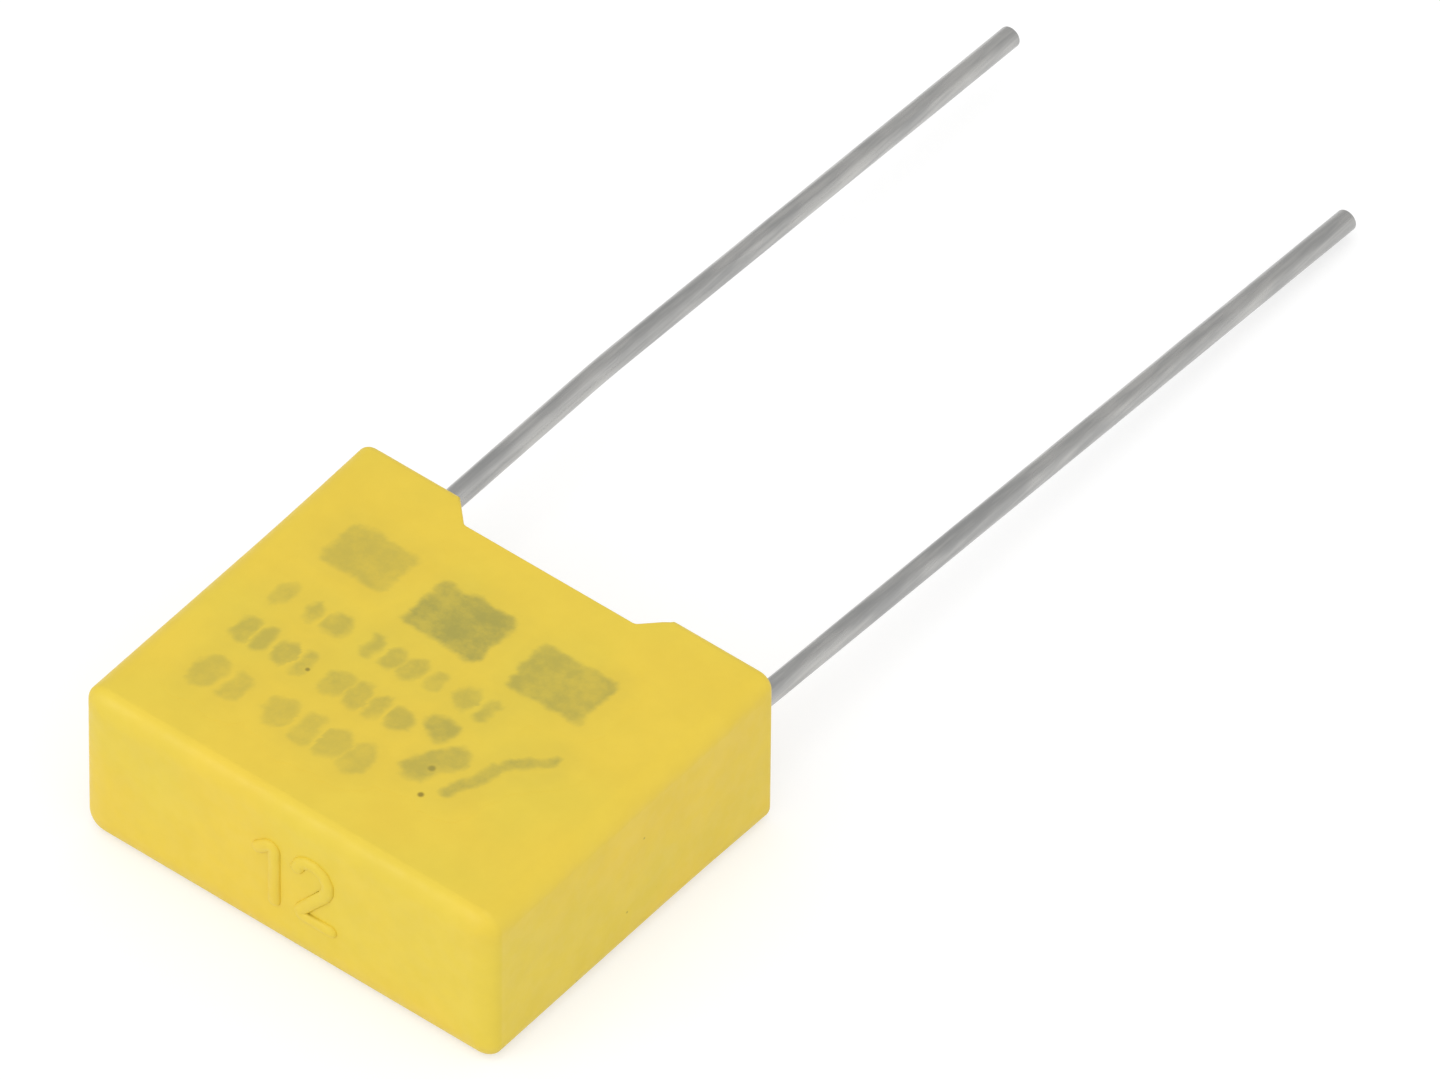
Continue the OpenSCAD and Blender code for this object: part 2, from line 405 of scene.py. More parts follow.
def case_material(case):
    """Satin yellow moulded plastic."""
    material, t = new_material("case_plastic_yellow")
    t.finish(*plastic(t, case), Specular_IOR_Level=PLASTIC_GLOSS)
    return material


def ink_material(case, marks):
    """Faded ink on the same plastic, by the film's own coverage."""
    material, t = new_material("faded_ink")
    base, rough, normal = plastic(t, case)
    ink = t.add("ShaderNodeAttribute", attribute_name="ink")["Fac"]
    fade = t.ramp(t.noise(1300.0, 4.0, 0.65), 0.3, 0.66, 0.58, 1.0)
    base = t.mix(t.calc("MULTIPLY", ink, fade), base, tuple(marks.ink))
    t.finish(base, rough, normal, Specular_IOR_Level=PLASTIC_GLOSS)
    return material


def wire_material(leads):
    """Drawn and tinned wire: dull streaks along it and a few dark specks."""
    material, t = new_material("tinned_wire_drawn")
    streak = t.noise(9000.0, 4.0, 0.6, (1.0, 0.03, 1.0))
    patch = t.noise(700.0, 3.0, 0.6, (1.0, 0.35, 1.0))
    shares = (t.calc("MULTIPLY", part, share) for part, share in ((streak, 0.4), (patch, 0.6)))
    dull = t.ramp(t.calc("ADD", *shares), 0.38, 0.62)
    base = t.mix(dull, tuple(leads.tin), tuple(leads.dull_tin))
    dirt = t.specks(1400.0, 0.06 * MM, 0.06)
    base = t.mix(t.calc("MULTIPLY", dirt, 0.6), base, srgb(72, 70, 66))
    rough = t.ramp(patch, 0.3, 0.7, 0.22, 0.34)
    t.finish(base, rough, t.bump(streak, 0.4, 0.004 * MM), Metallic=1.0)
    return material


def resin_material(resin):
    """Glossy cast resin with faint clouds and pin-holes, which a bump sinks and painted shade darkens."""
    material, t = new_material("cast_resin")
    cloud = t.ramp(t.noise(380.0, 4.0, 0.6), 0.3, 0.7)
    warm = tuple(c * f for c, f in zip(resin.cream, (0.9, 0.86, 0.74, 1.0)))
    base = t.mix(cloud, tuple(resin.cream), warm)
    shaded_holes = t.specks(900.0, 0.07 * MM, 0.1)
    # painted shade: each pin-hole's colour is darkened towards brown, as if shade filled the hole
    base = t.mix(t.calc("MULTIPLY", shaded_holes, 0.4), base, srgb(150, 128, 78))
    ripple = t.calc("MULTIPLY", t.noise(900.0, 2.0), 0.5)
    height = t.calc("SUBTRACT", ripple, shaded_holes)
    t.finish(base, t.ramp(cloud, 0.0, 1.0, 0.16, 0.3), t.bump(height, 0.5, 0.02 * MM))
    return material


def darker(value, share):
    """A colour with a share of its light."""
    return tuple(c * share for c in value[:3]) + (1.0,)


def film_material(resin):
    """Edge of many turns of metallised film."""
    material, t = new_material("wound_film")
    turns = t.noise(16000.0, 2.0, 0.5, (0.02, 1.0, 1.0))
    base = t.mix(t.ramp(turns, 0.3, 0.7), tuple(resin.film), darker(resin.film, 0.7))
    rough = t.ramp(turns, 0.3, 0.7, 0.18, 0.35)
    t.finish(base, rough, t.bump(turns, 0.4, 0.01 * MM), Metallic=0.6)
    return material


def spray_material(resin):
    """Rough sprayed metal."""
    material, t = new_material("sprayed_metal")
    grain = t.noise(5200.0, 4.0, 0.7)
    base = t.mix(t.ramp(grain, 0.3, 0.7), darker(resin.spray, 0.55), tuple(resin.spray))
    rough = t.ramp(grain, 0.3, 0.7, 0.7, 0.45)
    t.finish(base, rough, t.bump(grain, 0.8, 0.05 * MM), Metallic=1.0)
    return material


def lay_down(points):
    """Moves points from the upright build to where the part lies.

    The upright build's axes run along the lead spacing, across it, and up from the closed end.
    """
    points = np.asarray(points, float)
    return np.stack((points[..., 0], points[..., 2] + CASE_LOW.y, MID_HEIGHT - points[..., 1]), -1)


def turn_down(vectors):
    """Turns directions as lay_down moves points."""
    vectors = np.asarray(vectors, float)
    return np.stack((vectors[..., 0], vectors[..., 2], -vectors[..., 1]), -1)


def add_piece(name, mesh, slot, *replaced):
    """Puts a finished mesh in the scene as a piece of the object."""
    piece = bpy.data.objects.new(name, mesh)
    bpy.context.scene.collection.objects.link(piece)
    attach(piece, "root")
    if replaced:
        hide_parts(*replaced)


def coat(obj, material):
    """Gives an object one material."""
    obj.data.materials.clear()
    obj.data.materials.append(material)


def shade_smooth(mesh, crease=None):
    """Shades a mesh smooth, apart from edges that turn by more than a crease in degrees."""
    mesh.polygons.foreach_set("use_smooth", [True] * len(mesh.polygons))
    if crease:
        mesh.set_sharp_from_angle(angle=math.radians(crease))


def plain_mesh(name, form, material, crease=None):
    """Turns a bmesh into a smooth mesh of one material."""
    mesh = bpy.data.meshes.new(name)
    form.to_mesh(mesh)
    form.free()
    mesh.materials.append(material)
    shade_smooth(mesh, crease)
    return mesh


def run_tree(tree, base, values):
    """Evaluates a node tree on an object with its inputs set, and gives the result as a plain mesh."""
    bpy.context.scene.collection.objects.link(base)
    modifier = base.modifiers.new(tree.name, "NODES")
    modifier.node_group = tree
    for item in tree.interface.items_tree:
        if item.item_type == "SOCKET" and item.in_out == "INPUT" and item.name in values:
            modifier[item.identifier] = values[item.name]
    depsgraph = bpy.context.evaluated_depsgraph_get()
    mesh = bpy.data.meshes.new_from_object(base.evaluated_get(depsgraph), depsgraph=depsgraph)
    base.modifiers.remove(modifier)
    bpy.data.objects.remove(base)
    if not mesh.polygons:
        raise RuntimeError(f"{tree.name} made no faces")
    return mesh


def new_tree(name, **inputs):
    """Builder and inputs of a geometry node tree; inputs other than its material go by their type."""
    tree = bpy.data.node_groups.new(name, "GeometryNodeTree")
    for kind, labels in {"Geometry": ("Geometry",), **inputs, "Material": ("Material",)}.items():
        for label in labels:
            tree.interface.new_socket(label, in_out="INPUT", socket_type="NodeSocket" + kind)
    tree.interface.new_socket("Geometry", in_out="OUTPUT", socket_type="NodeSocketGeometry")
    return Nodes(tree), tree.nodes.new("NodeGroupInput").outputs


def poly_curve(name, strokes):
    """Curve object of straight-sided strokes; a point may carry a radius after its place."""
    data = bpy.data.curves.new(name, "CURVE")
    data.dimensions = "3D"
    for stroke in strokes:
        spline = data.splines.new("POLY")
        spline.points.add(len(stroke) - 1)
        for point, value in zip(spline.points, stroke):
            point.co = (*value[:3], 1.0)
            point.radius = value[3] if len(value) > 3 else 1.0
    return bpy.data.objects.new(name, data)


class FILMCAP_OT_case(bpy.types.Operator):
    """Mould the case: closed end, walls, feet and the sloped gap between them"""

    bl_idname = "film_capacitor.case"
    bl_label = "Mould Case"

    def ramp_places(self, case):
        """Reach of a ramp's roundings along the level, and where its lines meet at its top and foot."""
        tangent = case.ramp_radius * math.tan(case.ramp_angle / 2)
        top_x = CASE_SIZE.x / 2 - case.foot_length
        return tangent, top_x, top_x - case.foot_height / math.tan(case.ramp_angle)

    def rim(self, case, x):
        """Height of the rim above the closed end and its slope angle, at a distance from the middle."""
        top, floor = CASE_SIZE.y, CASE_SIZE.y - case.foot_height
        r, slope = case.ramp_radius, case.ramp_angle
        tangent, top_x, floor_x = self.ramp_places(case)
        x = abs(x)
        if x <= floor_x - tangent:
            return floor, 0.0
        if x < floor_x + tangent * math.cos(slope):
            turn = math.asin((x - floor_x + tangent) / r)
            return floor + r * (1 - math.cos(turn)), turn
        if x < top_x - tangent * math.cos(slope):
            return floor + (x - floor_x) * math.tan(slope), slope
        if x < top_x + tangent:
            turn = math.asin((top_x + tangent - x) / r)
            return top - r * (1 - math.cos(turn)), turn
        return top, 0.0

    def columns(self, case):
        """Places round the case: outer point, outward direction, inner point, way to the sharp corner."""
        half = Vector((CASE_SIZE.x / 2, CASE_SIZE.z / 2))
        r, inner_r = case.edge_radius, case.cavity_radius
        inner = half - Vector((case.wall, case.wall))
        core = inner - Vector((inner_r, inner_r))
        tangent, top_x, floor_x = self.ramp_places(case)
        slant = tangent * math.cos(case.ramp_angle)
        stops = (0, floor_x - tangent, floor_x + slant, top_x - slant, top_x + tangent, half.x - r)
        side = []
        for start, end, count in zip(stops, stops[1:], RIM_POINTS):
            side += list(np.linspace(start, end, count, endpoint=False))
        side.append(stops[-1])
        wide = [-x for x in reversed(side[1:])] + side
        narrow = list(np.linspace(-(half.y - r), half.y - r, NARROW_POINTS))
        found = []
        # each quarter turn adds one side and the corner that ends it
        for turn, (sx, sy) in enumerate(CORNERS):
            for v in (narrow, wide[::-1], narrow[::-1], wide)[turn]:
                if turn % 2:
                    n, p = Vector((0, sy)), Vector((v, sy * half.y))
                    q = Vector((max(-core.x, min(core.x, v)), sy * inner.y))
                else:
                    n, p = Vector((sx, 0)), Vector((sx * half.x, v))
                    q = Vector((sx * inner.x, max(-core.y, min(core.y, v))))
                found.append((p, n, q, Vector((0, 0))))
            centre = Vector((sx * (half.x - r), sy * (half.y - r)))
            for step in range(1, CORNER_POINTS):
                a = turn * math.pi / 2 + math.radians(90 * step / CORNER_POINTS)
                n = Vector((math.cos(a), math.sin(a)))
                inside = Vector((sx * core.x, sy * core.y)) + inner_r * n
                found.append((centre + r * n, n, inside, Vector((sx, sy)) - n))
        return found

    def column(self, case, *places):
        """Points and directions of one column, from the closed end over the rim to the cavity's floor."""
        p, n, q, to_corner = (np.array((v.x, v.y, 0.0)) for v in places)
        up = np.array((0.0, 0.0, 1.0))
        x = places[0].x
        height, slope = self.rim(case, x)
        lean = np.array((-math.copysign(math.sin(slope), x), 0.0, math.cos(slope))) if slope else up
        top, r = CASE_SIZE.y, case.edge_radius
        half = np.array((CASE_SIZE.x / 2, CASE_SIZE.z / 2, top))
        crisp = to_corner * (r - case.open_radius)
        points, normals = [], []

        def put(point, normal):
            points.append(point)
            normals.append(normal / np.linalg.norm(normal))

        def arc(centre, radius, first, last, angles):
            for a in angles:
                turn = first * math.cos(a) + last * math.sin(a)
                put(centre + radius * turn, turn)

        # the closed end's edge, a quarter of an ellipse, whose corners get smaller as it goes in
        deep, tall = case.end_depth, case.end_reach
        for a in np.radians(np.linspace(0, 90, END_POINTS)):
            inset = deep * (1 - math.sin(a))
            left = max(r - inset, case.end_corner)
            place = p - inset * (n + to_corner) + (r - left) * to_corner
            if not to_corner.any():
                room = half - inset - left
                place = np.where(n == 0.0, np.clip(place, -room, room), place)
            direction = n * math.sin(a) / deep - up * math.cos(a) / tall
            put(place + up * tall * (1 - math.cos(a)), direction)
        # the wall, on which the long edges get crisper towards the open end
        for share in WALL_ROWS:
            z = r + share * (top - case.foot_height - ROW_CLEARANCE - r)
            put(p + crisp * max(0.0, 1 - (top - z) / case.taper) ** TAPER_POWER + up * z, n)
        p = p + crisp
        # the foot's rounding, as far up as the rim reaches into it, then a small rounding onto the rim
        e, r = case.notch_rounding, case.rim_radius
        reach = math.asin(max(0.0, min(1.0, (height - top + r) / r)))
        outward = n * math.cos(reach) + up * math.sin(reach)
        between = math.acos(max(-1.0, min(1.0, float(outward @ lean))))
        setback = e * math.tan(between / 2) / math.cos(slope)
        stop = max(0.0, reach - setback / r)
        start = min(top - r, height - setback)
        arc(p - n * r + up * start, r, n, up, np.linspace(0, stop, FOOT_POINTS))
        centre = p - n * r * (1 - math.cos(reach)) + up * height
        centre = centre - e * (outward + lean) / (1 + math.cos(between))
        for share in np.linspace(0, 1, EDGE_POINTS):
            turn = outward * (1 - share) + lean * share
            turn /= np.linalg.norm(turn)
            put(centre + e * turn, turn)
        # the rim's inner edge, the cavity's wall and the rounding onto its floor
        quarter = np.radians(np.linspace(0, 90, INSIDE_POINTS))
        arc(q + up * height - e * (lean - n), e, -n, lean, quarter[::-1])
        r = case.cavity_radius
        put(q + up * (top - case.foot_height - INNER_CLEARANCE), -n)
        put(q + up * (case.end_wall + 2 * r), -n)
        arc(q - n * r + up * (case.end_wall + r), -r, -n, up, quarter)
        return points, normals

    def execute(self, context):
        case = context.scene.film_capacitor.case
        built = [self.column(case, *places) for places in self.columns(case)]
        points = lay_down([b[0] for b in built])
        normals = turn_down([b[1] for b in built])
        shell = bmesh.new()
        direction = shell.verts.layers.float_vector.new("direction")
        grid = []
        for places, ways in zip(points, normals):
            grid.append([shell.verts.new(place) for place in places])
            for vert, way in zip(grid[-1], ways):
                vert[direction] = way
        for here, after in zip(grid, grid[1:] + grid[:1]):
            for i in range(len(here) - 1):
                shell.faces.new((here[i], after[i], after[i + 1], here[i + 1]))
        shell.faces.new([line[0] for line in reversed(grid)])
        shell.faces.new([line[-1] for line in grid])
        bmesh.ops.remove_doubles(shell, verts=shell.verts, dist=WELD)
        bmesh.ops.dissolve_degenerate(shell, edges=shell.edges, dist=SHORTEST_EDGE)
        if shell.calc_volume(signed=True) < 0:
            bmesh.ops.reverse_faces(shell, faces=shell.faces)
        mesh = plain_mesh("moulded_case", shell, case_material(case))
        kept = [tuple(item.vector) for item in mesh.attributes["direction"].data]
        mesh.normals_split_custom_set_from_vertices(kept)
        mesh.attributes.remove(mesh.attributes["direction"])
        add_piece("moulded_case", mesh, "case_plastic", "case")
        return {"FINISHED"}


def wire_tree():
    """Wire along a path, with its weld pressed flat."""
    t, source = new_tree(
        "Wire Along Path", Float=("Wire Radius", "Side", "Flat Distance", "Flat End"), Int=("Sides",)
    )
    values = {"Resolution": source["Sides"], "Radius": source["Wire Radius"]}
    ring = t.add("GeometryNodeCurvePrimitiveCircle", values)["Curve"]
    place = t.add("GeometryNodeInputPosition")["Position"]
    split = t.add("ShaderNodeSeparateXYZ", {"Vector": place})
    out = t.calc("MULTIPLY", split["X"], source["Side"])
    held = t.calc("MAXIMUM", out, source["Flat Distance"])
    values = {"X": t.calc("MULTIPLY", held, source["Side"]), "Y": split["Y"], "Z": split["Z"]}
    pressed = t.add("ShaderNodeCombineXYZ", values)
    values = {"A": split["Y"], "B": source["Flat End"]}
    welded = t.add("FunctionNodeCompare", values, data_type="FLOAT", operation="LESS_THAN")
    values = {
        "Geometry": t.sweep(source["Geometry"], ring),
        "Selection": welded["Result"],
        "Position": pressed["Vector"],
    }
    return t.close(source, t.add("GeometryNodeSetPosition", values)["Geometry"])


def lead_axis(leads, side, tilt):
    """Middle of a lead's weld and the direction that it leaves in, in the upright build."""
    middle = np.array((side * leads.pitch / 2, 0.0, leads.weld_height))
    return middle, np.array((0.0, math.sin(tilt), math.cos(tilt)))


class FILMCAP_OT_leads(bpy.types.Operator):
    """Draw the two tinned wires from their welds, past their slight bends, to their cut ends"""

    bl_idname = "film_capacitor.leads"
    bl_label = "Draw Leads"

    def path(self, leads, side, beyond, tilt, bend_at, bend):
        """Points of a lead's axis, each with its share of the wire's radius."""
        tilt, bend = math.radians(tilt), math.radians(bend)
        middle, along = lead_axis(leads, side, tilt)
        down = np.array((0.0, math.cos(tilt), -math.sin(tilt)))
        turned = along * math.cos(bend) + down * math.sin(bend)
        corner = middle + along * (CASE_SIZE.y + bend_at * MM - leads.weld_height)
        tail = (beyond - bend_at) * MM
        weld_end = middle + along * (leads.weld_length / 2 + leads.radius)
        weld_start = middle - along * leads.weld_length / 2
        points = [(p, 1.0) for p in (weld_start, weld_end, weld_end + along * FLAT_STEP)]
        bend_start = corner - along * leads.bend_radius * math.tan(bend / 2)
        for a in np.linspace(0, bend, BEND_POINTS):
            swung = along * math.sin(a) + down * (1 - math.cos(a))
            points.append((bend_start + leads.bend_radius * swung, 1.0))
        edge, r = leads.tip_rounding, leads.radius
        for a in np.radians(np.linspace(0, 90, TIP_POINTS)):
            back = edge * (1 - math.sin(a))
            points.append((corner + turned * (tail - back), (r - edge * (1 - math.cos(a))) / r))
        return [(*lay_down(p), share) for p, share in points]

    def execute(self, context):
        leads = context.scene.film_capacitor.leads
        material = wire_material(leads)
        tree = wire_tree()
        for name, lead in LEADS.items():
            path = self.path(leads, *lead)
            values = {
                "Wire Radius": leads.radius,
                "Sides": leads.sides,
                "Side": float(lead[0]),
                "Flat Distance": leads.pitch / 2 - leads.radius + leads.weld_flat,
                "Flat End": float(path[1][1]) + FLAT_STEP / 4,
                "Material": material,
            }
            mesh = run_tree(tree, poly_curve(name + "_axis", [path]), values)
            shade_smooth(mesh, crease=40)
            add_piece(name.replace("lead", "wire"), mesh, "tinned_wire", name)
        return {"FINISHED"}


class FILMCAP_OT_resin(bpy.types.Operator):
    """Pour the resin's surface, which climbs the walls and the wires"""

    bl_idname = "film_capacitor.resin"
    bl_label = "Pour Resin"

    def ring(self, core, radius, step):
        """Points round a rounded rectangle, given its corner centres' distances and its corner radius."""
        points = []
        for k, (sx, sy) in enumerate(CORNERS):
            for a in np.radians(90 * k + np.linspace(0, 90, WALL_CORNER_POINTS)):
                points.append((sx * core[0] + radius * math.cos(a), sy * core[1] + radius * math.sin(a)))
        dense = []
        for a, b in zip(points, points[1:] + points[:1]):
            steps = max(1, round(math.dist(a, b) / step))
            dense += [tuple(np.array(a) + (np.array(b) - a) * k / steps) for k in range(steps)]
        return dense

    def plan(self, core, radius, cell, wires, wall_distance):
        """Points of the surface seen from above, and how many of them lie along the walls."""
        edge = self.ring(core, radius, cell)
        inner = []
        for inset in WALL_INSETS:
            inner += self.ring(core, radius - inset * MM, cell)
        for wire in wires:
            for r in WIRE_RINGS:
                inner += [
                    (wire[0] + r * MM * math.cos(a), wire[1] + r * MM * math.sin(a))
                    for a in np.linspace(0, 2 * math.pi, WIRE_RING_POINTS, endpoint=False)
                ]
        half = core + radius
        for i, y in enumerate(np.arange(-half[1], half[1], cell)):
            for x in np.arange(-half[0], half[0], cell) + (i % 2) * cell / 2:
                away = min(np.linalg.norm((x, y) - wire) for wire in wires)
                if wall_distance(np.array((x, y))) > WALL_CLEARANCE and away > WIRE_CLEARANCE:
                    inner.append((x, y))
        return edge + [p for p in inner if wall_distance(np.array(p)) > RING_CLEARANCE], len(edge)

    def execute(self, context):
        settings = context.scene.film_capacitor
        case, leads, resin = settings.case, settings.leads, settings.resin
        radius = case.cavity_radius
        core = np.array((CASE_SIZE.x / 2, CASE_SIZE.z / 2)) - case.wall - radius
        wires = []
        for side, _, tilt, *_ in LEADS.values():
            middle, along = lead_axis(leads, side, math.radians(tilt))
            wires.append((middle + along * (resin.level - leads.weld_height) / along[2])[:2])

        def wall_distance(p):
            past = np.abs(p) - core
            return radius - np.linalg.norm(np.maximum(past, 0), axis=-1) - np.minimum(past.max(-1), 0)

        plan, n = self.plan(core, radius, resin.cell, wires, wall_distance)
        scaled = [Vector((x / MM, y / MM)) for x, y in plan]
        walls = [(i, (i + 1) % n) for i in range(n)]
        # its mode 1 keeps the triangles inside the walls
        verts, _, faces, *_ = delaunay_2d_cdt(scaled, walls, [], 1, 1e-5)
        flat = np.array([(v.x, v.y) for v in verts]) * MM
        climb = resin.wall_rise * np.exp(-np.maximum(wall_distance(flat), 0) / resin.spread)
        for wire in wires:
            away = np.maximum(np.linalg.norm(flat - wire, axis=1) - leads.radius, 0)
            climb = np.maximum(climb, resin.wire_rise * np.exp(-away / resin.spread))
        # two slow waves, in millimetres, leave the surface not quite level
        x, y = flat[:, 0] / MM, flat[:, 1] / MM
        swell = 0.012 * np.sin(0.8 * x + 0.4) * np.cos(1.3 * y) + 0.008 * np.sin(1.9 * x - 1.1 * y)
        height = resin.level + RESIN_LIFT + climb + swell * MM
        depth = np.full(len(flat), resin.level - RESIN_DEPTH)
        pool = bmesh.new()
        upper, lower = (
            [pool.verts.new(p) for p in lay_down(np.column_stack((flat, z)))] for z in (height, depth)
        )
        for face in faces:
            pool.faces.new([upper[i] for i in face])
            pool.faces.new([lower[i] for i in reversed(face)])
        place = {v: i for i, v in enumerate(upper)}
        for e in [e for e in pool.edges if e.is_boundary and e.verts[0] in place]:
            a, b = (place[v] for v in e.verts)
            pool.faces.new((upper[a], upper[b], lower[b], lower[a]))
        bmesh.ops.recalc_face_normals(pool, faces=pool.faces)
        material = resin_material(resin)
        mesh = plain_mesh("resin_surface", pool, material, crease=60)
        add_piece("resin_surface", mesh, "resin")
        coat(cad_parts["potting_resin"], material)
        return {"FINISHED"}


class FILMCAP_OT_roll(bpy.types.Operator):
    """Finish the film roll and its sprayed ends"""

    bl_idname = "film_capacitor.roll"
    bl_label = "Finish Roll"

    def execute(self, context):
        resin = context.scene.film_capacitor.resin
        coat(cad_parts["film_winding"], film_material(resin))
        spray = spray_material(resin)
        for name in ("end_spray_left", "end_spray_right"):
            coat(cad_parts[name], spray)
        return {"FINISHED"}


def ink_tree():
    """Film of ink over a grid, wherever a stroke is near, with a soft edge."""
    t, source = new_tree(
        "Ink Over Strokes",
        Float=("Width", "Depth", "Soft Edge", "Wobble", "Haze", "Film"),
        Int=("Columns", "Rows"),
        Vector=("Level",),
    )
    strokes = source["Geometry"]
    sizes = {"Size X": "Width", "Size Y": "Depth", "Vertices X": "Columns", "Vertices Y": "Rows"}
    grid = t.add("GeometryNodeMeshGrid", {key: source[name] for key, name in sizes.items()})
    values = {"Geometry": grid["Mesh"], "Translation": source["Level"]}
    face = t.add("GeometryNodeTransform", values)["Geometry"]
    # places that sway to and fro along the face, so that the marks have worn outlines
    place = t.add("GeometryNodeInputPosition")["Position"]
    values = {"Vector": place, "Scale": 1500.0, "Detail": 3.0, "Roughness": 0.6}
    waves = t.add("ShaderNodeTexNoise", values)["Color"]
    centred = t.vector("SUBTRACT", waves, (0.5, 0.5, 0.5))["Vector"]
    wobble = t.add("ShaderNodeCombineXYZ", {"X": source["Wobble"], "Y": source["Wobble"]})
    sway = t.vector("MULTIPLY_ADD", centred, wobble["Vector"], place)["Vector"]
    values = {"Target": strokes, "Sample Position": sway}
    away = t.add("GeometryNodeProximity", values, target_element="EDGES")["Distance"]
    values = {"Geometry": strokes, "Sample Position": sway}
    which = t.add("GeometryNodeSampleNearest", values, domain="EDGE")["Index"]

    def attribute(name):
        """Value that a point or an edge carries."""
        kind = "GeometryNodeInputNamedAttribute"
        return t.add(kind, {"Name": name}, data_type="FLOAT")["Attribute"]

    def nearest(name):
        """Value that the nearest stroke carries."""
        values = {"Geometry": strokes, "Value": attribute(name), "Index": which}
        kind = "GeometryNodeSampleIndex"
        return t.add(kind, values, data_type="FLOAT", domain="EDGE")["Value"]

    half = nearest("half_width")
    fade = t.ramp(away, t.calc("SUBTRACT", half, source["Soft Edge"]), half, 1.0, 0.0)
    inked = t.calc("MULTIPLY", fade, nearest("density"))
    stain = t.calc("MULTIPLY", t.ramp(away, HAZE_END, HAZE_FULL), source["Haze"])
    values = {"Geometry": face, "Name": "ink", "Value": t.calc("MAXIMUM", inked, stain)}
    kept = t.add("GeometryNodeStoreNamedAttribute", values, data_type="FLOAT", domain="POINT")
    values = {"A": attribute("ink"), "B": LEAST_INK}
    bare = t.add("FunctionNodeCompare", values, data_type="FLOAT", operation="LESS_THAN")
    values = {"Geometry": kept["Geometry"], "Selection": bare["Result"]}
    sheet = t.add("GeometryNodeDeleteGeometry", values, domain="POINT")["Geometry"]
    # the sheet's own copy, raised by the film's thickness, over the sheet turned face down
    values = {"Mesh": sheet, "Offset Scale": source["Film"], "Individual": False}
    upper = t.add("GeometryNodeExtrudeMesh", values, mode="FACES")
    under = t.add("GeometryNodeFlipFaces", {"Mesh": sheet})
    both = t.add("GeometryNodeJoinGeometry", {"Geometry": [upper["Mesh"], under["Mesh"]]})
    values = {"Geometry": both["Geometry"], "Distance": WELD}
    return t.close(source, t.add("GeometryNodeMergeByDistance", values)["Geometry"])


class FILMCAP_OT_print(bpy.types.Operator):
    """Print worn blocks and strokes on the upper wide face"""

    bl_idname = "film_capacitor.print"
    bl_label = "Print Marks"

    def strokes(self):
        """All printed strokes: single ones, blocks filled with level strokes, then each row's."""
        strokes = list(STROKES)
        r = BLOCK_ROUNDING
        for left, right, bottom, top, density in BLOCKS:
            for y in np.linspace(bottom + r, top - r, BLOCK_STROKES):
                strokes.append(((left + r, y), (right - r, y), r, density))
        for y, places, tall, wide, density in ROWS:
            for i, x in enumerate(places):
                w, h = STROKE_SHARES[i % len(STROKE_SHARES)]
                reach = tall * h - wide * w
                strokes.append(((x, y - reach), (x, y + reach), wide * w, density))
        return strokes

    def execute(self, context):
        settings = context.scene.film_capacitor
        marks = settings.marks
        level = CASE_HIGH.z - marks.film / 2
        printed = self.strokes()
        lines = bpy.data.meshes.new("print_strokes")
        points = [(x * MM, y * MM, level) for start, end, *_ in printed for x, y in (start, end)]
        lines.from_pydata(points, [(2 * i, 2 * i + 1) for i in range(len(printed))], [])
        half = lines.attributes.new("half_width", "FLOAT", "EDGE")
        dense = lines.attributes.new("density", "FLOAT", "EDGE")
        half.data.foreach_set("value", [s[2] * MM for s in printed])
        dense.data.foreach_set("value", [s[3] for s in printed])
        values = {
            "Width": marks.field_width,
            "Depth": marks.field_depth,
            "Columns": round(marks.field_width / marks.cell) + 1,
            "Rows": round(marks.field_depth / marks.cell) + 1,
            "Level": (0.0, 0.0, level),
            "Soft Edge": marks.soft_edge,
            "Wobble": marks.wobble,
            "Haze": marks.haze,
            "Film": marks.film,
            "Material": ink_material(settings.case, marks),
        }
        mesh = run_tree(ink_tree(), bpy.data.objects.new("print_strokes", lines), values)
        add_piece("print_marks", mesh, "case_plastic")
        return {"FINISHED"}


def numeral_tree():
    """Low rounded ridge along strokes, whose points of full width are corners."""
    t, source = new_tree("Raised Strokes", Float=("Corner Radius", "Width", "Height"))
    share = t.add("GeometryNodeInputRadius")["Radius"]
    corner = t.calc("GREATER_THAN", share, FULL_WIDTH)
    values = {
        "Curve": source["Geometry"],
        "Radius": t.calc("MULTIPLY", corner, source["Corner Radius"]),
        "Limit Radius": True,
        "Count": STROKE_CORNER_POINTS,
    }
    soften = t.add("GeometryNodeFilletCurve", values, mode="POLY")
    ring = t.add("GeometryNodeCurvePrimitiveCircle", {"Resolution": SECTION_POINTS, "Radius": 1.0})
    half_width = t.calc("MULTIPLY", source["Width"], 0.5)
    size = t.add("ShaderNodeCombineXYZ", {"X": source["Height"], "Y": half_width, "Z": 1.0})
    values = {"Geometry": ring["Curve"], "Scale": size["Vector"]}
    outline = t.add("GeometryNodeTransform", values)["Geometry"]
    ridge = t.sweep(soften["Curve"], outline)
    smooth = t.add("GeometryNodeSetShadeSmooth", {"Geometry": ridge})
    return t.close(source, smooth["Geometry"])


